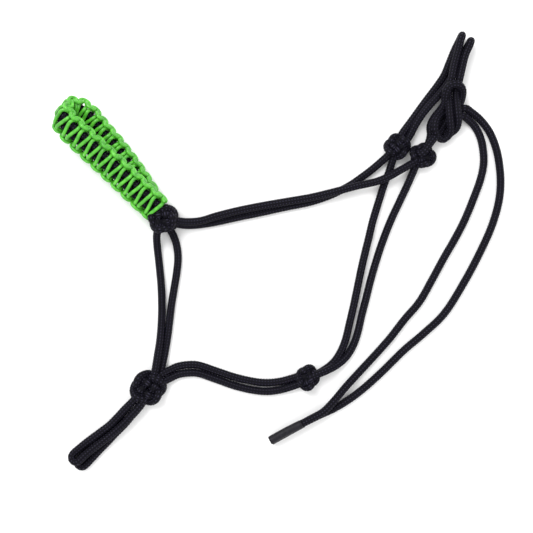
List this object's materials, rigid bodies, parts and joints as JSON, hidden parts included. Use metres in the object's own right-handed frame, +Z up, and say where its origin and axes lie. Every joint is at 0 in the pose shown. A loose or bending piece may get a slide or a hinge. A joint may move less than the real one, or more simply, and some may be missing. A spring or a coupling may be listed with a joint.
{
  "type": "rope halter",
  "caption": "Knotted rope halter for a horse, laid flat on its side, with a cobra-woven noseband, lead loops under the fiador knot and a crown tied by a sheet bend.",
  "frame": {"origin": "on the table, under the middle of the halter's box", "axes": "+X from the noseband towards the poll side, +Y towards the crown, +Z up from the table through the thickness of the folded halter"},
  "size_m": [0.3573, 0.3497, 0.0325],
  "materials": {
    "rope": "black braided polyester",
    "weave": "satin green nylon cord",
    "sleeve": "smooth sealed rope end"
  },
  "bodies": {
    "side_loop": {"cheek_rope_near": "rope", "cheek_rope_far": "rope", "chin_rope_near": "rope", "chin_rope_far": "rope", "fiador_rope_near": "rope", "fiador_rope_far": "rope", "throat_rope_near": "rope", "throat_rope_far": "rope", "nose_knot_near": "rope", "nose_knot_far": "rope", "fiador_knot": "rope", "throat_knot": "rope", "top_knot_near": "rope", "top_knot_far": "rope"},
    "noseband": {"noseband_rope_upper": "rope", "noseband_rope_lower": "rope", "weave_outer_cord": "weave", "weave_inner_cord": "weave"},
    "lead_loops": {"lead_loop_upper": "rope", "lead_loop_lower": "rope"},
    "crown": {"crown_rope_left": "rope", "crown_rope_right": "rope", "eye_loop": "rope", "sheet_bend": "rope"},
    "tails": {"tail_outer": "rope", "tail_inner": "rope", "tail_outer_end": "sleeve", "tail_inner_end": "sleeve"}
  },
  "joints": [
    {"name": "noseband_swing", "type": "hinge", "parent": "side_loop", "child": "noseband", "pos_m": [-0.0909, 0.0264, 0.012], "axis": [0, 0, 1], "range_deg": [-12, 15]},
    {"name": "lead_loops_swing", "type": "hinge", "parent": "side_loop", "child": "lead_loops", "pos_m": [-0.1096, -0.1118, 0.006], "axis": [0, 0, 1], "range_deg": [-20, 20]},
    {"name": "crown_swing", "type": "hinge", "parent": "side_loop", "child": "crown", "pos_m": [0.1016, 0.0874, 0.006], "axis": [0, 0, 1], "range_deg": [-1, 10]},
    {"name": "tails_swing", "type": "hinge", "parent": "crown", "child": "tails", "pos_m": [0.1441, 0.1109, 0.006], "axis": [0, 0, 1], "range_deg": [-1, 30]}
  ]
}
